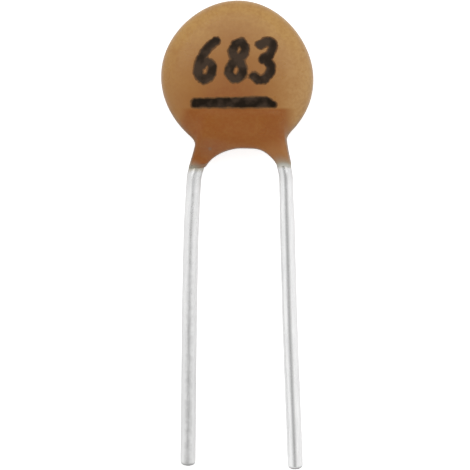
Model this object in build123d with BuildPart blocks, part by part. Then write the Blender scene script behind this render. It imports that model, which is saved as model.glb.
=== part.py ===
from build123d import *
from math import acos, atan2, cos, radians, sin, sqrt, tan
import os

os.makedirs("parts", exist_ok=True)

# A small dipped ceramic disc capacitor with two radial wire leads, lying on its back.
# Millimetres, +Z up, +Y from the leads towards the top of the disc.
# The origin is the middle of the small flat on the coating's rear face.

# Ceramic disc and its two fired silver electrodes
chip_d = 4.6
chip_t = 0.3
chip_chamfer = 0.05
electrode_margin = 0.2
electrode_t = 0.02

# Lead wire, and the mound of solder that holds it to an electrode
wire_d = 0.54
tip_chamfer = 0.07
solder_film = 0.03
solder_side = 0.2
solder_cover = 0.07
solder_past_end = 0.12
solder_slope = 20
solder_chamfer = 0.1

# Resin coating: a domed disc with a flat lower edge, a sleeve down each wire, and a web
# between the sleeves that is cut away below in an arch
coat_edge = 0.4
coat_face = 0.36
dome_rise = 0.15
rest_cut = 0.04
lower_cut = 0.15
lower_land = 0.6
lower_bevel = 30
sleeve_inside = 1.0
sleeve_film = 0.1
sleeve_film_end = 0.02
web_t = 0.48
web_round = 0.2
web_short = 0.1

# Each lead leaves the disc on a straight neck that leans outwards, then bends at knees.
# Neck, coat, knees and tip are distances below the coating's edge, and x is from the middle.
inner_end = 0.35
neck_reach = 0.8
neck_bend_r = 1.4
knee_bend_r = 12
left_neck_x = 1.53
left_lean = 16.7
left_coat = 0.56
left_knees = ((1.63, 2.6), (1.69, 5.3))
left_tip = (1.75, 11.15)
right_neck_x = 1.74
right_lean = 11.8
right_coat = 0.45
right_knees = ((1.89, 6.2),)
right_tip = (2.09, 11.27)

# Sizes that follow from the ones above
wire_r = wire_d / 2
body_r = chip_d / 2 + coat_edge
electrode_r = chip_d / 2 - electrode_margin
electrode_face = chip_t / 2 + electrode_t
wire_offset = electrode_face + solder_film + wire_r
half_t = wire_offset + wire_r + coat_face
mid_z = half_t - rest_cut
rim_r = half_t - dome_rise
dome_r = ((body_r - rim_r)**2 + half_t**2 - rim_r**2) / (2 * dome_rise)
dome_turn = acos((dome_r - half_t) / (dome_r - rim_r))
dome_end_x = dome_r * sin(dome_turn)
dome_end_z = half_t - dome_r * (1 - cos(dome_turn))
crown_y = lower_cut - body_r
sleeve_y = sleeve_inside - body_r


class Lead:
    """Where one lead runs. side is -1 on the left, face is -1 at the rear of the disc."""

    def __init__(self, name, side, face, neck_x, lean, coat, knees, tip):
        self.name = name
        self.side = side
        self.face = face
        self.neck_x = neck_x
        self.lean = radians(lean)
        self.knees = knees
        self.tip = tip
        self.z = mid_z + face * wire_offset
        self.neck_y = -body_r - neck_reach
        self.coat_y = -body_r - coat

    def x_at(self, y):
        """Middle of the wire on its straight neck, at height y."""
        return self.side * (self.neck_x - tan(self.lean) * (y - self.neck_y))

    def axis_at(self, y):
        return Vector(self.x_at(y), y, self.z)

    def route(self):
        """Inner end, neck, knees and tip. The wire falls until its tip touches the ground."""
        fall = (self.z - wire_r) / (self.neck_y + body_r + self.tip[1])
        points = [self.axis_at(inner_end)]
        for x, reach in ((self.neck_x, neck_reach), *self.knees, self.tip):
            y = -body_r - reach
            points.append((self.side * x, y, self.z - fall * (self.neck_y - y)))
        return points

    def solder_line(self):
        """Ends of the mound's middle line: past the wire's end, and short of the electrode's edge."""
        start = Vector(self.x_at(inner_end), inner_end)
        down = Vector(self.side * sin(self.lean), -cos(self.lean))
        along = start.dot(down)
        room = electrode_r - wire_r - solder_side
        length = sqrt(along**2 - start.dot(start) + room**2) - along
        return start - down * solder_past_end, start + down * length


left = Lead("left", -1, -1, left_neck_x, left_lean, left_coat, left_knees, left_tip)
right = Lead("right", 1, 1, right_neck_x, right_lean, right_coat, right_knees, right_tip)

# The ceramic disc is pressed and fired, with a small chamfer on both edges
with BuildPart() as ceramic_disc:
    with BuildSketch(Plane.XY.offset(mid_z - chip_t / 2)):
        Circle(chip_d / 2)
    extrude(amount=chip_t)
    chamfer(ceramic_disc.edges(), chip_chamfer)
ceramic_disc.part.label = "ceramic_disc"
export_step(ceramic_disc.part, "parts/ceramic_disc.step")

# Silver electrodes, printed and fired onto the two faces inside a bare margin
with BuildPart() as front_electrode:
    with BuildSketch(Plane.XY.offset(mid_z + chip_t / 2)):
        Circle(electrode_r)
    extrude(amount=electrode_t)
front_electrode.part.label = "front_electrode"
export_step(front_electrode.part, "parts/front_electrode.step")

with BuildPart() as rear_electrode:
    with BuildSketch(Plane.XY.offset(mid_z - electrode_face)):
        Circle(electrode_r)
    extrude(amount=electrode_t)
rear_electrode.part.label = "rear_electrode"
export_step(rear_electrode.part, "parts/rear_electrode.step")

# Tinned wire leads: round wire along straight runs and tangent arcs, with both ends' edges broken
wires = {}
for lead in (left, right):
    bends = [neck_bend_r] + [knee_bend_r] * len(lead.knees)
    with BuildPart() as wire:
        with BuildLine() as path:
            FilletPolyline(*lead.route(), radius=bends)
        with BuildSketch(Plane(path.line @ 0, z_dir=path.line % 0)):
            Circle(wire_r)
        sweep()
        chamfer(wire.faces().filter_by(GeomType.PLANE).edges(), tip_chamfer)
    wire.part.label = lead.name + "_lead"
    export_step(wire.part, f"parts/{wire.part.label}.step")
    wires[lead.name] = wire.part

# Solder: a mound with sloping sides over the end of each wire, closed under the wire too
mounds = {}
for lead, place in ((left, "rear"), (right, "front")):
    head, foot = lead.solder_line()
    height = solder_film + wire_d + solder_cover
    with BuildPart() as mound:
        with BuildSketch(Plane.XY.offset(mid_z + lead.face * electrode_face)):
            SlotCenterPoint((head + foot) / 2, foot, wire_d + 2 * solder_side)
        extrude(amount=height, dir=(0, 0, lead.face), taper=solder_slope)
        crest = mound.faces().filter_by(Plane.XY).sort_by(Axis.Z)[-1 if lead.face > 0 else 0]
        chamfer(crest.edges(), solder_chamfer)
        add(wires[lead.name], mode=Mode.SUBTRACT)
    mound.part.label = place + "_solder"
    export_step(mound.part, f"parts/{mound.part.label}.step")
    mounds[lead.name] = mound.part

# The arch springs from the wires' inner sides where the sleeves end. The web stands on
# the sloping plane that goes from the rear wire on the left to the front wire on the right.
spring_y = (left.coat_y + right.coat_y) / 2
arch_left = left.x_at(spring_y) + wire_r
arch_right = right.x_at(spring_y) - wire_r
arch_x = (arch_left + arch_right) / 2
web_slope = atan2(2 * wire_offset, right.x_at(spring_y) - left.x_at(spring_y))
web_plane = Plane((arch_x, 0, mid_z), x_dir=(cos(web_slope), 0, sin(web_slope)),
                  z_dir=(-sin(web_slope), 0, cos(web_slope)))


def on_web(lead, y):
    """The wire's middle line at height y, in the web's own plane."""
    return ((lead.x_at(y) - arch_x) / cos(web_slope), y)


with BuildPart() as web:
    with BuildSketch(web_plane.offset(-web_t / 2)):
        Polygon(on_web(left, sleeve_y), on_web(left, left.coat_y + web_short),
                on_web(right, right.coat_y + web_short), on_web(right, sleeve_y), align=None)
        with Locations((0, spring_y)):
            Ellipse((arch_right - arch_left) / 2 / cos(web_slope), crown_y - spring_y, mode=Mode.SUBTRACT)
    extrude(amount=web_t)
    fillet(web.edges().filter_by(GeomType.ELLIPSE), web_round)

# Each half of the dipped disc, front and rear, carries the sleeve of the wire on its side.
# A half is a shallow dome on a round rim, with one bevel down to the land on the lower edge.
halves = []
for lead in (left, right):
    face = lead.face
    top = (0, mid_z + face * half_t)
    dome_end = (dome_end_x, mid_z + face * dome_end_z)
    with BuildPart() as half:
        with BuildSketch(Plane.XZ):
            with BuildLine():
                RadiusArc(top, dome_end, face * dome_r)
                RadiusArc(dome_end, (body_r, mid_z), face * rim_r)
                Polyline((body_r, mid_z), (0, mid_z), top)
            make_face()
        revolve(axis=Axis.Z)
        split(bisect_by=Plane.XZ.offset(-crown_y), keep=Keep.BOTTOM)
        bevel = Plane((0, crown_y, mid_z + face * lower_land / 2),
                      z_dir=(0, -cos(radians(lower_bevel)), face * sin(radians(lower_bevel))))
        split(bisect_by=bevel, keep=Keep.BOTTOM)
        root = lead.axis_at(sleeve_y)
        end = lead.axis_at(lead.coat_y)
        with Locations(Plane(root, z_dir=end - root)):
            Cone(wire_r + sleeve_film, wire_r + sleeve_film_end, (end - root).length,
                 align=(Align.CENTER, Align.CENTER, Align.MIN))
    halves.append(half.part)

# Coating: both halves and the web, less all they enclose, with the resting flat on the rear
with BuildPart() as resin_coating:
    add(halves)
    add(web.part)
    split(bisect_by=Plane.XY, keep=Keep.TOP)
    for enclosed in (ceramic_disc.part, front_electrode.part, rear_electrode.part,
                     *mounds.values(), *wires.values()):
        add(enclosed, mode=Mode.SUBTRACT)
resin_coating.part.label = "resin_coating"
export_step(resin_coating.part, "parts/resin_coating.step")
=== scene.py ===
import math
import bpy
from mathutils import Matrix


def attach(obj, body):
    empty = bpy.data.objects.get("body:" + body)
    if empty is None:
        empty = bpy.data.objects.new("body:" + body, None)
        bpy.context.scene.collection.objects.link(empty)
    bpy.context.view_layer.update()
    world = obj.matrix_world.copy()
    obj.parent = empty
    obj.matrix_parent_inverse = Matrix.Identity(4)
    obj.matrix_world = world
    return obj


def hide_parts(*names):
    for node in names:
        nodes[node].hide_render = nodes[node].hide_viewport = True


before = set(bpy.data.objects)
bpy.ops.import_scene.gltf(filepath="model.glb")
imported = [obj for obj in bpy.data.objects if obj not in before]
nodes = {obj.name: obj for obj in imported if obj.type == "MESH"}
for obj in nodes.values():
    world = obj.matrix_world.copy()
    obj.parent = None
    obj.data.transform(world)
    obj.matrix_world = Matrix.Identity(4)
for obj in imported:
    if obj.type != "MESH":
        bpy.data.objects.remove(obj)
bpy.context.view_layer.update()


# Resin coating. The soldered disc is dipped in brown phenolic resin, which runs down both wires
# while it is wet and bridges them with a shallow arch. It is one skin, shaped here as a solid
# whose surface lies where a distance worked out from the disc, wires and arch is nought.
MM = 0.001


class Field:
    """A number that a node tree works out at each point, so that a shape can be written as sums."""

    def __init__(self, tree, socket):
        self.tree = tree
        self.socket = socket

    def step(self, operation, *others):
        node = self.tree.nodes.new("ShaderNodeMath")
        node.operation = operation
        for slot, value in zip(node.inputs, (self, *others)):
            plug(self.tree, slot, value)
        return Field(self.tree, node.outputs[0])

    def __add__(self, other):
        return self.step("ADD", other)

    def __sub__(self, other):
        return self.step("SUBTRACT", other)

    def __rsub__(self, other):
        return (self * -1.0).step("ADD", other)

    def __mul__(self, other):
        return self.step("MULTIPLY", other)

    def __truediv__(self, other):
        return self.step("DIVIDE", other)

    def __pow__(self, other):
        return self.step("POWER", other)

    def size(self):
        return self.step("ABSOLUTE")

    def root(self):
        return self.step("SQRT")

    def least(self, other, blend=0.0):
        return self.step("SMOOTH_MIN", other, blend) if blend else self.step("MINIMUM", other)

    def most(self, other, blend=0.0):
        return self.step("SMOOTH_MAX", other, blend) if blend else self.step("MAXIMUM", other)

    def ramp(self, start, end, low, high):
        """Goes smoothly from low at start to high at end."""
        node = self.tree.nodes.new("ShaderNodeMapRange")
        node.interpolation_type = "SMOOTHSTEP"
        for name, value in (("Value", self), ("From Min", start), ("From Max", end),
                            ("To Min", low), ("To Max", high)):
            plug(self.tree, node.inputs[name], value)
        return Field(self.tree, node.outputs[0])


def plug(tree, slot, value):
    """Joins a socket or a Field to a slot, or sets the slot to a plain value."""
    if isinstance(value, Field):
        value = value.socket
    if isinstance(value, bpy.types.NodeSocket):
        tree.links.new(value, slot)
    else:
        slot.default_value = value


def add_node(tree, kind, settings=None, **slots):
    """Adds a node. Slots are given by name, with _ for a space."""
    node = tree.nodes.new(kind)
    for name, value in (settings or {}).items():
        setattr(node, name, value)
    for name, value in slots.items():
        plug(tree, node.inputs[name.replace("_", " ")], value)
    return node


def axis_fields(tree, vector):
    """The three parts of a vector, as Fields."""
    parts = add_node(tree, "ShaderNodeSeparateXYZ", Vector=vector)
    return tuple(Field(tree, parts.outputs[axis]) for axis in "XYZ")


def by_side(across, left, right):
    """The left value at the left wire and the right value at the right one, with 1 mm between."""
    return across.ramp(-0.5, 0.5, left, right)


def speckle(tree, vector, scale, detail=2.0, stretch=(1.0, 1.0, 1.0)):
    """Noise from 0 to 1, at a place that may be stretched."""
    shaped = add_node(tree, "ShaderNodeVectorMath", {"operation": "MULTIPLY"})
    plug(tree, shaped.inputs[0], vector)
    shaped.inputs[1].default_value = stretch
    noise = add_node(tree, "ShaderNodeTexNoise", Vector=shaped.outputs[0], Scale=scale, Detail=detail)
    return Field(tree, noise.outputs[0])


def add_object(name, data):
    """Puts an object with this data into the scene."""
    added = bpy.data.objects.new(name, data)
    bpy.context.scene.collection.objects.link(added)
    return added


def start_tree(name, sizes):
    """Starts a geometry tree with an input for each size. Returns it, its input node and its sizes."""
    tree = bpy.data.node_groups.new(name, "GeometryNodeTree")
    tree.interface.new_socket("Geometry", in_out="INPUT", socket_type="NodeSocketGeometry")
    tree.interface.new_socket("Geometry", in_out="OUTPUT", socket_type="NodeSocketGeometry")
    for label in sizes:
        tree.interface.new_socket(label, in_out="INPUT", socket_type="NodeSocketFloat")
    group = tree.nodes.new("NodeGroupInput")
    return tree, group, {label: Field(tree, group.outputs[label]) for label in sizes}


def push(tree, geometry, direction, amount):
    """Moves each point along a direction by an amount."""
    offset = add_node(tree, "ShaderNodeVectorMath", {"operation": "SCALE"}, Vector=direction, Scale=amount)
    return add_node(tree, "GeometryNodeSetPosition", Geometry=geometry, Offset=offset.outputs[0]).outputs[0]


def mark(tree, geometry, label, value):
    """Stores a number at each point, for the material to read."""
    stored = add_node(tree, "GeometryNodeStoreNamedAttribute", {"data_type": "FLOAT", "domain": "POINT"},
                      Geometry=geometry, Name=label, Value=value)
    return stored.outputs[0]


def solid_where(tree, field, low, high, steps):
    """A closed mesh round the part of a box where a field is below nought."""
    cube = add_node(tree, "GeometryNodeVolumeCube", Density=0.5 - field, Background=0.0, Min=low, Max=high,
                    Resolution_X=steps[0], Resolution_Y=steps[1], Resolution_Z=steps[2])
    return add_node(tree, "GeometryNodeVolumeToMesh", {"resolution_mode": "GRID"},
                    Volume=cube.outputs[0], Threshold=0.5, Adaptivity=0.0).outputs[0]


def end_tree(tree, geometry, material):
    """Turns millimetres into metres, smooths, makes instances real and sets the material."""
    metres = add_node(tree, "GeometryNodeTransform", Geometry=geometry, Scale=(MM, MM, MM))
    smooth = add_node(tree, "GeometryNodeSetShadeSmooth", Geometry=metres.outputs[0])
    real = add_node(tree, "GeometryNodeRealizeInstances", Geometry=smooth.outputs[0])
    painted = add_node(tree, "GeometryNodeSetMaterial", Geometry=real.outputs[0], Material=material)
    plug(tree, tree.nodes.new("NodeGroupOutput").inputs[0], painted.outputs[0])


def grow(name, source, tree, sizes, material):
    """Runs the tree on a source object and keeps the result as a plain mesh piece."""
    modifier = source.modifiers.new(tree.name, "NODES")
    modifier.node_group = tree
    for item in tree.interface.items_tree:
        if item.in_out == "INPUT" and item.name in sizes:
            modifier[item.identifier] = float(sizes[item.name])
    evaluated = source.evaluated_get(bpy.context.evaluated_depsgraph_get())
    mesh = bpy.data.meshes.new_from_object(evaluated)
    source.modifiers.remove(modifier)
    bpy.data.objects.remove(source)
    mesh.name = name
    mesh.materials.clear()
    mesh.materials.append(material)
    return add_object(name, mesh)


def start_material(name, **settings):
    """A material with a Principled shader. Settings are its plain values, with _ for a space."""
    material = bpy.data.materials.new(name)
    material.use_nodes = True
    shader = material.node_tree.nodes["Principled BSDF"]
    for label, value in settings.items():
        shader.inputs[label.replace("_", " ")].default_value = value
    return material, material.node_tree, shader


def place_on_piece(tree):
    """The place on the piece, in metres for noise, and its three parts in millimetres."""
    vector = add_node(tree, "ShaderNodeTexCoord").outputs["Object"]
    return vector, tuple(part / MM for part in axis_fields(tree, vector))


def marked(tree, label):
    """What mark() stored under this label."""
    return Field(tree, add_node(tree, "ShaderNodeAttribute", {"attribute_name": label}).outputs["Fac"])


def tint(tree, amount, first, second):
    """Colour from first to second as the amount goes from 0 to 1."""
    mix = add_node(tree, "ShaderNodeMix", {"data_type": "RGBA"})
    plug(tree, mix.inputs["Factor"], amount)
    for slot, value in ((mix.inputs[6], first), (mix.inputs[7], second)):
        plug(tree, slot, (*value, 1.0) if isinstance(value, tuple) else value)
    return mix.outputs[2]


# Sizes in millimetres, from the middle of the flat that the disc lies on
wire_radius, half_thickness, middle_height = 0.27, 1.1, 1.06
neck_y = -3.5
neck_x = {"left": -1.53, "right": 1.74}
neck_lean = {"left": math.radians(-16.7), "right": math.radians(11.8)}
wire_level = {"left": 0.59, "right": 1.53}
resin_sizes = {
    "Disc Radius": 2.702, "Half Thickness": half_thickness, "Middle Height": middle_height,
    "Edge Fullness": 3.4, "Lower Slope": math.radians(7.5), "Slope Line": -1.07, "Slope Inset": 0.03,
    "Wire Radius": wire_radius, "Film": 0.003, "Root Film": 0.02, "Ragged": 0.06, "Neck Y": neck_y,
    "Sleeve Top": -1.6, "End Feather": 0.12, "End Film": 0.03,
    "Left X": neck_x["left"], "Left Level": wire_level["left"], "Left Lean": neck_lean["left"],
    "Left End": -3.3,
    "Right X": neck_x["right"], "Right Level": wire_level["right"], "Right Lean": neck_lean["right"],
    "Right End": -3.17,
    "Web Top": -1.4, "Web Root": 0.9, "Web Foot": 0.4, "Web Foot Y": -3.15, "Web End": -3.22,
    "Web Slope": 0.5, "Web Turn": 0.2, "Web Inset": 0.02, "Web Steepness": 0.85,
    "Draw In From": -2.62, "Draw In Length": 0.65, "Draw In Room": 1.5, "Draw In Film": 0.005,
    "Draw In Steepness": -2.0,
    "Arch X": 0.15, "Arch Half Width": 1.283, "Arch Spring": -3.316, "Arch Height": 0.792,
    "Arch Left Fullness": 1.769, "Arch Right Fullness": 2.958, "Arch Outer Loss": 0.888,
    "Arch Steepness": 0.8, "Waves": 0.004, "Waves on Disc": 2.0, "Waves on Legs": 0.2,
}
# How far the dipped edge strays from a circle: waves around it, and the bearing of each one's peak
edge_waves = ((0.0156, -21.0), (0.0187, -119.0), (0.0105, -117.0), (0.0196, -26.0))
# How softly the shapes run into each other
slope_blend, web_blend, sleeve_blend, root_blend = 0.03, 0.45, 0.04, 0.3
web_root_blend, web_side_blend, web_top_blend, arch_blend, rest_blend = 0.2, 0.35, 0.3, 0.16, 0.02
# Spans over which a shape changes: of y for sleeve, web and waves, and across for the arch
film_thickens, web_turns_back, waves_grow = (-2.7, -2.1), (-2.9, -1.9), (-2.9, -2.0)
arch_crown, arch_outer = (-0.3, 0.5), (0.3, 1.15)
ragged_scale, waves_scale = 3.1, 0.9
# Keeps the sum at the very middle of the disc above nought
tiny = 0.0001

resin_pale_lit = (0.455, 0.252, 0.07)
resin_deep = (0.235, 0.062, 0.008)
resin_shaded_lower = (0.264, 0.077, 0.0085)
resin_fleck = (0.31, 0.125, 0.025)
resin_highlight = (0.5, 0.3, 0.13)
resin_shaded_rim = (0.2, 0.135, 0.055)
resin_speck = (0.13, 0.12, 0.09)
resin_film = (0.35, 0.32, 0.245)
resin_last = (0.6, 0.59, 0.55)
resin_roughness, resin_shine, least_shine = (0.26, 0.36), 0.36, 0.04
# How much weaker the shine is round the left leg, below the bar and on the lower rim
duller_leg, duller_bar, duller_rim = 0.18, 0.07, 0.16
grain_height = 0.00002
# How fine the noises are: of a shade's edge, of the flecks and the grain, and of the gloss
wander_scale, fleck_scale, grain_scale, gloss_scale = 1100.0, 2600.0, 9000.0, 900.0
wander_reach, fleck_amount = 0.1, 0.26
# The deepest place of the painted light, how pale it is painted there, how fast it pales outwards and how
# far
deepest_x, deepest_y = -0.3, -0.7
deepest_lightness, lightening_rate, lightness_cap = 0.12, 0.1, 1.2
# Patches that are deeper or paler than the rest round them: the middle, half the width and
# height, and how much deeper
# They deepen or pale the same painted light
resin_patches = (
    (-0.15, -0.5, 1.4, 0.6, 0.08), (0.0, 1.8, 1.3, 0.9, 0.15), (-1.5, 1.6, 1.1, 1.1, -0.06),
    (-2.3, -0.9, 0.9, 0.9, 0.06), (1.6, 0.6, 1.2, 0.6, 0.07), (-1.3, -0.25, 1.2, 0.45, -0.06),
)
# Spans over which one shade gives way to the next
bar_foot, lower_shade_left, lower_shade_right = (-1.19, -1.07), (-2.07, -1.65), (1.55, 2.15)
lower_shade_top, lower_shade_lean = -1.16, 0.28
left_leg, right_leg, leg_highlight_span = (-2.4, -2.0), (-2.5, -2.1), (-2.7, -2.1)
rim_across, rim_up, rim_amount = (1.0, 2.6), (0.4, 2.0), 0.42
leg_highlight_inner, leg_highlight_outer, leg_highlight_amounts = (0.6, 1.3), (1.45, 1.75), (0.23, 0.12)
edge_tops, edge_reach, edge_amount, turned_away = (-0.9, -1.2), 0.5, 0.5, (0.15, 0.6)
speck_x, speck_y, speck_edge, speck_amount, front_of_leg = -0.96, -2.55, (0.02, 0.09), 0.5, (0.9, 1.1)
film_end = {"left": -3.26, "right": -3.09}
film_length = {"left": 0.36, "right": 0.44}
last_of_film, last_amount = (-3.2, -2.98), 0.8

resin_material, shade, resin_shader = start_material("phenolic_resin", Roughness=0.3, IOR=1.5,
                                                     Specular_IOR_Level=resin_shine)
place, (place_x, place_y, place_z) = place_on_piece(shade)
facing = marked(shade, "facing")
wander = (speckle(shade, place, wander_scale) - 0.5) * wander_reach
# The resin is painted palest towards the disc's edge and deepest between number and bar, as painted light
from_deepest = (place_x - deepest_x) ** 2.0 + (place_y - deepest_y) ** 2.0
painted_lightness = (from_deepest * lightening_rate + deepest_lightness).least(lightness_cap) ** 0.8
for patch_x, patch_y, half_width, half_height, deeper in resin_patches:
    patch = ((place_x - patch_x) / half_width) ** 2.0 + ((place_y - patch_y) / half_height) ** 2.0
    painted_lightness = painted_lightness - patch.ramp(0.0, 1.0, deeper, 0.0)
body_colour = tint(shade, painted_lightness, resin_deep, resin_pale_lit)
# A painted highlight makes the disc paler towards its right edge
right_rim_highlight = place_x.ramp(*rim_across, 0.0, rim_amount) * place_y.ramp(*rim_up, 1.0, 0.3)
body_colour = tint(shade, right_rim_highlight, body_colour, resin_highlight)
# Below the bar the face is painted an even dark brown as painted shade, but for a rim at each side
inside_right = (place_x - wander).ramp(*lower_shade_right, 1.0, 0.0).most(place_y.ramp(*right_leg, 1.0, 0.0))
leaning_x = place_x + wander - (place_y - lower_shade_top) * lower_shade_lean
inside_left = leaning_x.ramp(*lower_shade_left, 0.0, 1.0).most(place_y.ramp(*left_leg, 1.0, 0.0))
painted_lower_shade = (place_y + wander).ramp(*bar_foot, 1.0, 0.0) * inside_right * inside_left
body_colour = tint(shade, painted_lower_shade, body_colour, resin_shaded_lower)
# A painted highlight makes the right leg a little paler, most of all at its outer side
painted_leg_highlight = place_x.ramp(*leg_highlight_inner, 0.0, leg_highlight_amounts[0])
painted_leg_highlight = painted_leg_highlight + place_x.ramp(*leg_highlight_outer, 0.0, leg_highlight_amounts[1])
body_colour = tint(shade, painted_leg_highlight * place_y.ramp(*leg_highlight_span, 1.0, 0.0), body_colour, resin_highlight)
# Where the surface turns away round the lower rim, it is painted darker and greyish as painted shade
edge_top = place_x.ramp(-1.0, 1.0, *edge_tops)
painted_rim_shade = facing.ramp(*turned_away, edge_amount, 0.0)
painted_rim_shade = painted_rim_shade * place_y.ramp(edge_top - edge_reach, edge_top, 1.0, 0.0)
body_colour = tint(shade, painted_rim_shade, body_colour, resin_shaded_rim)
# A grey speck sits in the front of the left leg
from_speck = ((place_x - speck_x) ** 2.0 + (place_y - speck_y) ** 2.0).root()
speck = from_speck.ramp(*speck_edge, speck_amount, 0.0) * place_z.ramp(*front_of_leg, 0.0, 1.0)
body_colour = tint(shade, speck, body_colour, resin_speck)
# It is flecked and grained all over
mottle = speckle(shade, place, fleck_scale, detail=4.0).ramp(0.4, 0.75, 0.0, fleck_amount)
mottle = mottle + speckle(shade, place, grain_scale, detail=3.0).ramp(0.35, 0.65, 0.0, fleck_amount)
body_colour = tint(shade, mottle, body_colour, resin_fleck)
# At its end on each wire it thins to a film that shows the tin through it
tangents = {side: math.tan(lean) for side, lean in neck_lean.items()}
off_wire = place_x - by_side(place_x, **neck_x) + (place_y - neck_y) * by_side(place_x, **tangents)
# Over each wire's crest the film is painted barer than at its sides, which also paints a highlight there
wander = wander + (off_wire / wire_radius) ** 2.0 * 0.08 + off_wire * by_side(place_x, 0.5, 0.0)
length = by_side(place_x, **film_length)
bare = (by_side(place_x, **film_end) + length - place_y - wander) / length
body_colour = tint(shade, bare.most(0.0).least(1.0) ** 2.2, body_colour, resin_film)
last = (place_y + wander).ramp(*last_of_film, last_amount, 0.0) * by_side(place_x, 0.0, 1.0)
plug(shade, resin_shader.inputs["Base Color"], tint(shade, last, body_colour, resin_last))
# The gloss is uneven, and weaker round the left leg, below the bar and on the lower rim
gloss = speckle(shade, place, gloss_scale, detail=3.0).ramp(0.3, 0.7, *resin_roughness)
plug(shade, resin_shader.inputs["Roughness"], gloss)
duller = place_x.ramp(-1.7, -0.8, duller_leg, 0.0) * place_y.ramp(-2.2, -1.5, 1.0, 0.0)
duller = duller + place_y.ramp(-1.9, -1.4, 0.0, duller_bar) * place_y.ramp(-1.15, -1.05, 1.0, 0.0)
duller = duller + facing.ramp(0.3, 0.6, duller_rim, 0.0) * place_y.ramp(-1.2, -0.8, 1.0, 0.0)
plug(shade, resin_shader.inputs["Specular IOR Level"], (resin_shine - duller).most(least_shine))
grain = add_node(shade, "ShaderNodeBump", Strength=0.12, Distance=grain_height,
                 Height=speckle(shade, place, grain_scale, detail=3.0))
plug(shade, resin_shader.inputs["Normal"], grain.outputs[0])

resin_tree, _, size = start_tree("dipped_coating", resin_sizes)
at = add_node(resin_tree, "GeometryNodeInputPosition").outputs[0]
x, y, z = axis_fields(resin_tree, at)

# The disc: flat faces that turn over softly into the edge, which isn't quite a circle
half = size["Half Thickness"]
fullness = size["Edge Fullness"]
bearing = y.step("ARCTAN2", x)
edge = size["Disc Radius"]
for number, (swing, peak) in enumerate(edge_waves, 1):
    edge = edge + (bearing * float(number) - math.radians(peak)).step("COSINE") * swing
across = (x * x + y * y).root()
height = (z - size["Middle Height"]).size()
reach = ((across / edge) ** fullness + (height / half) ** fullness) ** (fullness ** -1.0) + tiny
tilt_out = (across / edge / reach) ** (fullness - 1.0) / edge
tilt_up = (height / half / reach) ** (fullness - 1.0) / half
disc = (reach - 1.0) / (tilt_out * tilt_out + tilt_up * tilt_up).root()
slope = size["Lower Slope"]
falling = (height - half + size["Slope Inset"]) * slope.step("COSINE")
falling = falling - (y - size["Slope Line"]) * slope.step("SINE")
disc = disc.most(falling, slope_blend)


def wire_sleeve(side):
    """Distance to the wire's middle line across and in all, and to the resin that hugs the wire."""
    lean = size[side + " Lean"]
    line_x = size[side + " X"] - lean.step("TANGENT") * (y - size["Neck Y"])
    from_line = (x - line_x) * lean.step("COSINE")
    level = z - size[side + " Level"]
    distance = (from_line * from_line + level * level).root()
    ragged = y + (speckle(resin_tree, at, ragged_scale, detail=3.0) - 0.5) * size["Ragged"]
    end = size[side + " End"]
    film = y.ramp(*film_thickens, size["Film"], size["Root Film"])
    film = film - ragged.ramp(end, end + size["End Feather"], size["End Film"], 0.0)
    sleeve = (distance - size["Wire Radius"] - film).most(end - y).most(y - size["Sleeve Top"])
    return from_line, distance, sleeve


left_from, left_distance, left_sleeve = wire_sleeve("Left")
right_from, right_distance, right_sleeve = wire_sleeve("Right")

# The web of resin between the wires falls from the disc's face towards the arch, and leans from
# the rear wire on the left to the front wire on the right.
middle_x = x - size["Arch X"]
turn = y.ramp(*web_turns_back, size["Web Turn"], 0.0)
in_plane = (z - size["Middle Height"]) * turn.step("COSINE") - middle_x * turn.step("SINE")
web_half = (y - size["Web Foot Y"]) * size["Web Slope"] + size["Web Foot"]
web = (in_plane.size() - web_half.least(size["Web Root"], web_root_blend)) * size["Web Steepness"]
web_side = size["Wire Radius"] - size["Web Inset"]
web = web.most(left_from * -1.0 - web_side, web_side_blend).most(right_from - web_side, web_side_blend)
web = web.most(size["Web End"] - y).most(y - size["Web Top"], web_top_blend)
sleeves = left_sleeve.least(right_sleeve)
skin = disc.least(web, web_blend).least(sleeves, sleeve_blend).least(disc.least(sleeves, root_blend))

# Towards its end the resin draws in to the wire
from_end = y - by_side(x, size["Left End"], size["Right End"])
room = from_end.ramp(0.0, size["Draw In Length"], size["Draw In Film"], size["Draw In Room"])
drawn_in = left_distance.least(right_distance) - size["Wire Radius"] - room
skin = skin.most(drawn_in.least((y - size["Draw In From"]) * size["Draw In Steepness"]))

# The arch between the wires is cut out with a soft edge. It is fuller on the right, but for its
# outer part. The rear lies on its flat.
arch_u = (middle_x / size["Arch Half Width"]).size()
arch_v = ((y - size["Arch Spring"]) / size["Arch Height"]).most(0.0)
power = middle_x.ramp(*arch_crown, size["Arch Left Fullness"], size["Arch Right Fullness"])
power = power - middle_x.ramp(*arch_outer, 0.0, size["Arch Outer Loss"])
arch = ((arch_u ** power + arch_v ** power) ** (power ** -1.0) - 1.0) * size["Arch Steepness"]
skin = skin.most(arch * -1.0, arch_blend).most(z * -1.0, rest_blend)
waves = (speckle(resin_tree, at, waves_scale, detail=1.0) - 0.5) * size["Waves"]
waves = waves * y.ramp(*waves_grow, size["Waves on Legs"], size["Waves on Disc"])

# Each point of the rough shell is drawn nearly onto the surface, twice, and then the waves are added
resin_low, resin_high, resin_steps = (-2.88, -3.6, -0.144), (2.88, 2.88, 2.304), (160, 180, 68)
drawn_onto = skin * -0.9
geometry = solid_where(resin_tree, skin, resin_low, resin_high, resin_steps)
normal = add_node(resin_tree, "GeometryNodeInputNormal").outputs[0]
for pull in (drawn_onto, drawn_onto, waves):
    geometry = push(resin_tree, geometry, normal, pull)
geometry = mark(resin_tree, geometry, "facing", axis_fields(resin_tree, normal)[2].size())
end_tree(resin_tree, geometry, resin_material)
coating_source = add_object("coating_source", bpy.data.meshes.new("coating_source"))
coating = grow("dipped_resin", coating_source, resin_tree, resin_sizes, resin_material)
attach(coating, "root")
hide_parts("resin_coating")

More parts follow.
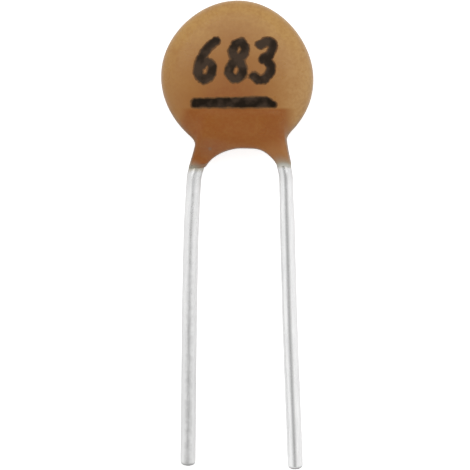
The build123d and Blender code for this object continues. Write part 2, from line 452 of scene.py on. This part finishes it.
# Leads. Drawn wire of half a millimetre with a bright tin coat, cropped from a taped strip, so
# the cut ends are a little rounded. Each is bent where it leaves the resin and runs on nearly
# straight to the tip, which touches the ground.
inner_x = {"left": -0.375, "right": 0.936}
lead_knees = {"left": ((-1.63, -5.3), (-1.69, -8.0)), "right": ((1.89, -8.9),)}
lead_tips = {"left": (-1.75, -13.85), "right": (2.09, -13.97)}
inner_y = 0.35
neck_bend, knee_bend = 1.4, 12.0
# Each wire was squeezed a little just below the neck
pinched = {"left": 0.03, "right": 0.085}
pinch_start, pinch_end = (-0.6, -0.4), (0.4, 1.8)
lead_sizes = {"Wire Radius": wire_radius, "Tip Length": 0.16, "Tip Fullness": 2.2, "Tip Flat": 0.12,
              "Step": 0.02, "Dents": 0.002, "Neck Y": neck_y, "Pinch": pinched["left"]}
bend_steps, ring_steps = 24, 32
dents_scale, dents_stretch = 1.3, (1.0, 0.35, 1.0)
tin_bright = (0.97, 0.97, 0.965)
tin_dull = (0.88, 0.88, 0.88)
tin_worn = (0.76, 0.76, 0.755)
tin_dark_band = (0.56, 0.56, 0.555)
tin_handled = (0.66, 0.66, 0.655)
tin_stain = (0.5, 0.47, 0.4)
tin_cut_shaded = (0.3, 0.3, 0.295)
tin_roughness = (0.2, 0.3)
streak_scale, streak_length, blotch_scale = 3.2, 0.35, 4500.0
streak_height = 0.00001
# How much of each there is on the left wire: near its tip, and in its upper half
tip_half = (-12.0, -5.0)
worn_amounts, dark_band_amounts, duller_amounts = (0.6, 0.2), (0.9, 0.25), (0.1, 0.04)
dark_band_anywhere, dark_band_strength = 0.12, 0.42
clouded_end = {"left": -3.26, "right": -3.14}
handled, handled_amount, stained = (-0.85, -0.2), 0.45, (-0.16, 0.02)

tin_material, shade, tin_shader = start_material("drawn_tin", Metallic=1.0, Roughness=0.2)
place, (place_x, place_y, _) = place_on_piece(shade)
left_side = by_side(place_x, 1.0, 0.0)
# Drawing leaves fine streaks along the wire
turned = marked(shade, "around") * math.tau
streak_place = add_node(shade, "ShaderNodeCombineXYZ", X=turned.step("COSINE"), Y=turned.step("SINE"),
                        Z=marked(shade, "along") * streak_length)
streaks = speckle(shade, streak_place.outputs[0], streak_scale, detail=5.0)
tin_colour = tint(shade, streaks.ramp(0.3, 0.7, 0.0, 1.0), tin_bright, tin_dull)
# Handling has worn the left wire, most near its tip
tin_colour = tint(shade, left_side * place_y.ramp(*tip_half, *worn_amounts), tin_colour, tin_worn)
# A painted dark reflection darkens the upward-facing band of each wire in small blotches, most on the left
# wire near its tip
blotches = speckle(shade, place, blotch_scale, detail=3.0).ramp(0.35, 0.65, 0.5, 1.5)
painted_dark_band = left_side * place_y.ramp(*tip_half, *dark_band_amounts) + dark_band_anywhere
painted_dark_band = marked(shade, "facing").ramp(0.75, 0.95, 0.0, dark_band_strength) * painted_dark_band * blotches
tin_colour = tint(shade, painted_dark_band, tin_colour, tin_dark_band)
# A trace of resin clouds the tin just below the coating
past_film = place_y + (streaks - 0.5) * 0.1 - by_side(place_x, **clouded_end)
tin_colour = tint(shade, past_film.ramp(*handled, 0.0, handled_amount), tin_colour, tin_handled)
tin_colour = tint(shade, past_film.ramp(*stained, 0.0, 1.0), tin_colour, tin_stain)
# The cropped end is dull, and painted darker round its rounded tip as painted shade
cropped = marked(shade, "cropped").ramp(0.0, 0.85, 0.0, 1.0)
plug(shade, tin_shader.inputs["Base Color"], tint(shade, cropped, tin_colour, tin_cut_shaded))
duller = left_side * place_y.ramp(*tip_half, *duller_amounts)
plug(shade, tin_shader.inputs["Roughness"], streaks.ramp(0.3, 0.7, *tin_roughness) + duller)
drawn = add_node(shade, "ShaderNodeBump", Strength=0.12, Distance=streak_height, Height=streaks)
plug(shade, tin_shader.inputs["Normal"], drawn.outputs[0])

lead_tree, lead_group, size = start_tree("drawn_wire", lead_sizes)
bent = add_node(lead_tree, "GeometryNodeFilletCurve", {"mode": "POLY"}, Count=bend_steps,
                Curve=lead_group.outputs["Geometry"],
                Radius=add_node(lead_tree, "GeometryNodeInputRadius").outputs[0])
paced = add_node(lead_tree, "GeometryNodeResampleCurve", {"mode": "LENGTH"},
                 Curve=bent.outputs[0], Length=size["Step"])
spline_place = add_node(lead_tree, "GeometryNodeSplineParameter")
run = Field(lead_tree, spline_place.outputs["Length"])
whole = Field(lead_tree, add_node(lead_tree, "GeometryNodeSplineLength").outputs["Length"])
into_tip = (1.0 - run.least(whole - run) / size["Tip Length"]).most(0.0)
radius = (1.0 - into_tip ** size["Tip Fullness"]).most(0.0) ** (size["Tip Fullness"] ** -1.0)
lead_at = add_node(lead_tree, "GeometryNodeInputPosition").outputs[0]
past_neck = size["Neck Y"] - axis_fields(lead_tree, lead_at)[1]
thinned = past_neck.ramp(*pinch_end, 1.0, 0.0) * past_neck.ramp(*pinch_start, 0.0, 1.0) * size["Pinch"]
radius = radius.most(size["Tip Flat"]) * size["Wire Radius"] * (1.0 - thinned)
line = mark(lead_tree, paced.outputs[0], "along", run)
line = mark(lead_tree, line, "cropped", into_tip)
plain = add_node(lead_tree, "GeometryNodeSetCurveRadius", Curve=line, Radius=1.0)
ring = add_node(lead_tree, "GeometryNodeCurvePrimitiveCircle", {"mode": "RADIUS"}, Resolution=ring_steps,
                Radius=1.0)
ring = mark(lead_tree, ring.outputs[0], "around", Field(lead_tree, spline_place.outputs["Factor"]))
tube = add_node(lead_tree, "GeometryNodeCurveToMesh", Curve=plain.outputs[0], Profile_Curve=ring,
                Scale=radius, Fill_Caps=True)
normal = add_node(lead_tree, "GeometryNodeInputNormal").outputs[0]
dents = (speckle(lead_tree, lead_at, dents_scale, 2.0, dents_stretch) - 0.5) * size["Dents"] * 2.0
geometry = push(lead_tree, tube.outputs[0], normal, dents)
geometry = mark(lead_tree, geometry, "facing", axis_fields(lead_tree, normal)[2])
end_tree(lead_tree, geometry, tin_material)

for side in ("left", "right"):
    # Beyond the neck the wire falls evenly, until its tip touches the ground
    tip_y = lead_tips[side][1]
    fall = (wire_level[side] - wire_radius) / (neck_y - tip_y)
    outline = ((neck_x[side], neck_y), *lead_knees[side], lead_tips[side])
    route = [(inner_x[side], inner_y, wire_level[side])]
    route += [(px, py, wire_level[side] - fall * (neck_y - py)) for px, py in outline]
    curve = bpy.data.curves.new(side + "_route", "CURVE")
    curve.dimensions = "3D"
    spline = curve.splines.new("POLY")
    spline.points.add(len(route) - 1)
    for point, corner in zip(spline.points, route):
        point.co = (*corner, 1.0)
        point.radius = neck_bend if corner[1] == neck_y else knee_bend
    wire = grow(side + "_tinned_wire", add_object(side + "_route", curve), lead_tree,
                {**lead_sizes, "Pinch": pinched[side]}, tin_material)
    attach(wire, "root")
    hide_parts(side + "_lead")

# Ink. A plain number over a bar, stamped on the front face with a worn rubber stamp, so that the
# strokes are heavy and their edges ragged. It is a film of dried ink that follows the dome.
ink_sizes = {"Stroke": 0.19, "Ragged": 0.09, "Ink": 0.012, "Print Depth": 0.06,
             "Bar Left": -1.675, "Bar Right": 1.44, "Bar Middle": -0.915, "Bar Half Height": 0.217,
             "Bar Flare": 0.0136, "Bar Tilt": 0.012, "Bar Cut": 0.34,
             "Half Thickness": half_thickness, "Middle Height": middle_height,
             "Edge Fullness": resin_sizes["Edge Fullness"], "Disc Radius": resin_sizes["Disc Radius"]}
bar_blend, cut_blend, print_blend = 0.24, 0.1, 0.04
rough_scale, fine_scale = 4.0, 11.0
stroke_step = 0.04
digit_lean, digit_middle = 0.14, 0.58
digit_strokes = (
    # 6, 8 and 3, as the middle lines of their strokes
    (-1.08, ((0.24, 0.68), (0.02, 0.5), (-0.2, 0.14), (-0.27, -0.24), (-0.2, -0.58), (0.0, -0.7),
             (0.22, -0.58), (0.27, -0.3), (0.12, -0.06), (-0.08, -0.06), (-0.24, -0.26))),
    (0.02, ((0.0, 0.02), (-0.22, 0.2), (-0.22, 0.5), (0.0, 0.68), (0.2, 0.5), (0.2, 0.22), (0.0, 0.02),
            (-0.24, -0.2), (-0.25, -0.5), (0.0, -0.7), (0.25, -0.5), (0.24, -0.2), (0.0, 0.02))),
    (0.98, ((-0.24, 0.56), (-0.04, 0.68), (0.2, 0.6), (0.24, 0.36), (0.08, 0.1), (-0.06, 0.04))),
    (0.98, ((0.0, 0.04), (0.22, -0.1), (0.28, -0.4), (0.12, -0.68), (-0.12, -0.72), (-0.3, -0.56))),
)
ink_low, ink_high, ink_steps = (-2.0, -1.4, -0.16), (1.9, 1.7, 0.16), (196, 156, 17)
ink_colour = (0.0112, 0.0062, 0.0024)
ink_worn = (0.053, 0.034, 0.022)
ink_thin = (0.2, 0.095, 0.035)
ink_roughness = (0.45, 0.65)
patchy_scale = 2200.0
number_foot, number_wear, patchy_wear = (-0.6, -0.3), 0.3, (-0.1, 0.85)

ink_material, shade, ink_shader = start_material("stamp_ink", Roughness=0.55, Specular_IOR_Level=0.08)
place, (_, place_y, _) = place_on_piece(shade)
patchy = speckle(shade, place, patchy_scale, detail=4.0)
# The number is worn more than the bar
worn = place_y.ramp(*number_foot, 0.0, number_wear) + patchy.ramp(0.35, 0.65, *patchy_wear)
# The ink thins out over its edge, where the resin shows through
covered = marked(shade, "inside").ramp(-0.01, 0.08, 0.0, 1.0)
plug(shade, ink_shader.inputs["Base Color"],
     tint(shade, covered, ink_thin, tint(shade, worn, ink_colour, ink_worn)))
plug(shade, ink_shader.inputs["Roughness"], patchy.ramp(0.3, 0.7, *ink_roughness))

ink_tree, ink_group, size = start_tree("stamped_ink", ink_sizes)
x, y, z = axis_fields(ink_tree, add_node(ink_tree, "GeometryNodeInputPosition").outputs[0])
flat = add_node(ink_tree, "ShaderNodeCombineXYZ", X=x, Y=y, Z=0.0).outputs[0]
lines = add_node(ink_tree, "GeometryNodeResampleCurve", {"mode": "LENGTH"},
                 Curve=ink_group.outputs["Geometry"], Length=stroke_step)
lines = add_node(ink_tree, "GeometryNodeCurveToMesh", Curve=lines.outputs[0])
near = add_node(ink_tree, "GeometryNodeProximity", {"target_element": "EDGES"},
                Geometry=lines.outputs[0], Sample_Position=flat)
rough_edge = (speckle(ink_tree, flat, rough_scale, detail=3.0) - 0.5) * size["Ragged"] * 2.0
fine_edge = (speckle(ink_tree, flat, fine_scale) - 0.5) * size["Ragged"] * 0.6
strokes = Field(ink_tree, near.outputs["Distance"]) - size["Stroke"] - rough_edge - fine_edge
# The bar widens and rises a little to the right, where its upper corner is cut away
bar_middle_x = (size["Bar Left"] + size["Bar Right"]) * 0.5
bar_x = (x - bar_middle_x).size() - (size["Bar Right"] - size["Bar Left"]) * 0.5
from_bar = y - size["Bar Middle"] - x * size["Bar Tilt"]
bar_half = size["Bar Half Height"] + x * size["Bar Flare"]
bar_cut = (x - size["Bar Right"] + size["Bar Cut"]) * 0.62 + (from_bar - bar_half) * 0.8
bar = bar_x.most(from_bar.size() - bar_half, bar_blend).most(bar_cut, cut_blend)
print_shape = strokes.least(bar - rough_edge * 0.5 - fine_edge)
# The print is made flat, and then laid on the dome and thinned to the film's thickness
ink_layer = print_shape.most(z.size() - size["Print Depth"], print_blend)
geometry = solid_where(ink_tree, ink_layer, ink_low, ink_high, ink_steps)
geometry = mark(ink_tree, geometry, "inside", print_shape * -1.0)
fullness = size["Edge Fullness"]
inward = ((x * x + y * y).root() / size["Disc Radius"]) ** fullness
face_z = size["Middle Height"] + (1.0 - inward) ** (fullness ** -1.0) * size["Half Thickness"]
lifted = add_node(ink_tree, "ShaderNodeCombineXYZ", X=x, Y=y,
                  Z=face_z + z * size["Ink"] / size["Print Depth"])
geometry = add_node(ink_tree, "GeometryNodeSetPosition", Geometry=geometry, Position=lifted.outputs[0])
end_tree(ink_tree, geometry.outputs[0], ink_material)

curve = bpy.data.curves.new("number_strokes", "CURVE")
curve.dimensions = "3D"
for middle_x, stroke in digit_strokes:
    spline = curve.splines.new("NURBS")
    spline.points.add(len(stroke) - 1)
    for point, (px, py) in zip(spline.points, stroke):
        point.co = (middle_x + px + digit_lean * py, digit_middle + py, 0.0, 1.0)
    spline.order_u = 3
    spline.use_endpoint_u = True
ink = grow("stamped_number_and_bar", add_object("number_strokes", curve), ink_tree, ink_sizes, ink_material)
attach(ink, "root")

# Inside the resin: the fired ceramic disc, its two silver faces and the solder on the wire ends.
# They are the CAD solids, and the resin hides them.
ceramic_colours = ((0.62, 0.45, 0.28), (0.5, 0.34, 0.2))
silver_colours = ((0.8, 0.79, 0.76), (0.68, 0.67, 0.64))
solder_colours = ((0.66, 0.66, 0.65), (0.5, 0.5, 0.5))
solder_roughness = (0.25, 0.42)


def mottled_material(name, scale, detail, colours, **settings):
    """A material mottled between two colours. Returns it, its tree, its shader and the mottle."""
    material, tree, shader = start_material(name, **settings)
    mottle = speckle(tree, place_on_piece(tree)[0], scale, detail)
    plug(tree, shader.inputs["Base Color"], tint(tree, mottle, *colours))
    return material, tree, shader, mottle


ceramic_material, *_ = mottled_material("fired_ceramic", 5000.0, 4.0, ceramic_colours, Roughness=0.75)
silver_material, *_ = mottled_material("fired_silver", 7000.0, 3.0, silver_colours,
                                       Metallic=1.0, Roughness=0.45)
solder_material, shade, solder_shader, dull = mottled_material("soft_solder", 2500.0, 3.0, solder_colours,
                                                               Metallic=1.0, Roughness=0.3)
plug(shade, solder_shader.inputs["Roughness"], dull.ramp(0.3, 0.7, *solder_roughness))
for name, material in (("ceramic_disc", ceramic_material), ("front_electrode", silver_material),
                       ("rear_electrode", silver_material), ("front_solder", solder_material),
                       ("rear_solder", solder_material), ("resin_coating", resin_material),
                       ("left_lead", tin_material), ("right_lead", tin_material)):
    for slot in nodes[name].material_slots:
        slot.material = material

# Floor: a pale matt sheet under the part. To the camera it glows a little as well, which takes
# it to white while it keeps the part's shadow.
white = (1.0, 1.0, 1.0, 1.0)
floor_grey = (0.75, 0.75, 0.75, 1.0)
floor_reach, floor_drop = 0.6, 0.00002
glow_seen, glow_mirrored = 0.7, 0.14


def sheet(name, start_x, end_x, start_y, end_y, level):
    """A flat rectangle at one level, in metres. It faces down if its x runs from right to left."""
    mesh = bpy.data.meshes.new(name)
    corners = ((start_x, start_y), (end_x, start_y), (end_x, end_y), (start_x, end_y))
    mesh.from_pydata([(px, py, level) for px, py in corners], [], [(0, 1, 2, 3)])
    return add_object(name, mesh)


def glow(tree, strength):
    """White light that a surface gives off."""
    return add_node(tree, "ShaderNodeEmission", Color=white, Strength=strength).outputs[0]


floor = sheet("floor", -floor_reach, floor_reach, -floor_reach, floor_reach, 0.0)
floor.location.z = -floor_drop
floor_material, shade, floor_shader = start_material("pale_floor", Base_Color=floor_grey, Roughness=0.9)
rays = add_node(shade, "ShaderNodeLightPath")
seen = Field(shade, rays.outputs["Is Camera Ray"])
mirrored = Field(shade, rays.outputs["Is Glossy Ray"])
total = add_node(shade, "ShaderNodeAddShader")
plug(shade, total.inputs[0], floor_shader.outputs[0])
plug(shade, total.inputs[1], glow(shade, seen * glow_seen + mirrored * glow_mirrored))
plug(shade, shade.nodes["Material Output"].inputs["Surface"], total.outputs[0])
floor.data.materials.append(floor_material)

# Light: the part lies in a pale tent. Above it the tent has a grey gap, which the camera looks
# down through, and a soft panel that starts at the gap's edge towards the top of the disc.
tent_light, tent_seen = 0.93, 0.07
tent_height = 0.3
gap_middle, gap_half_width = -0.035, 0.23
gap_low, gap_high, panel_high = -0.45, 0.03, 0.36
gap_light, gap_edge_light = 0.35, 0.5
panel_radiance = 0.8
world = bpy.data.worlds.new("pale_tent")
bpy.context.scene.world = world
world.use_nodes = True
background = world.node_tree.nodes["Background"]
background.inputs["Color"].default_value = white
rays = add_node(world.node_tree, "ShaderNodeLightPath")
seen = Field(world.node_tree, rays.outputs["Is Camera Ray"])
plug(world.node_tree, background.inputs["Strength"], seen * tent_seen + tent_light)

gap = sheet("tent_gap", gap_middle + gap_half_width, gap_middle - gap_half_width, gap_low, gap_high,
            tent_height)
gap_material = bpy.data.materials.new("grey_cloth")
gap_material.use_nodes = True
shade = gap_material.node_tree
gap_x, _, _ = axis_fields(shade, add_node(shade, "ShaderNodeTexCoord").outputs["Object"])
lighter = (gap_x - gap_middle).size() / gap_half_width * gap_edge_light + gap_light
plug(shade, shade.nodes["Material Output"].inputs["Surface"], glow(shade, lighter))
gap.data.materials.append(gap_material)
gap.visible_camera = False

lamp = bpy.data.lights.new("soft_panel", "AREA")
lamp.shape = "RECTANGLE"
lamp.size = gap_half_width * 2.0
lamp.size_y = panel_high - gap_high
lamp.energy = panel_radiance * math.pi * lamp.size * lamp.size_y
panel = add_object("soft_panel", lamp)
panel.location = (gap_middle, (panel_high + gap_high) / 2, tent_height)
panel.visible_camera = False

# Camera: straight above, with the disc at the top of the picture
view_width, view_x, view_y = 16.73 * MM, -0.07 * MM, -5.61 * MM
camera_height, focus_level = 0.25, 1.0 * MM
camera_data = bpy.data.cameras.new("camera")
camera_data.sensor_width = 36.0
camera_data.lens = camera_data.sensor_width * camera_height / view_width
camera_data.clip_start = 0.001
camera = add_object("camera", camera_data)
camera.location = (view_x, view_y, camera_height + focus_level)
bpy.context.scene.camera = camera
bpy.context.scene.view_settings.view_transform = "Standard"
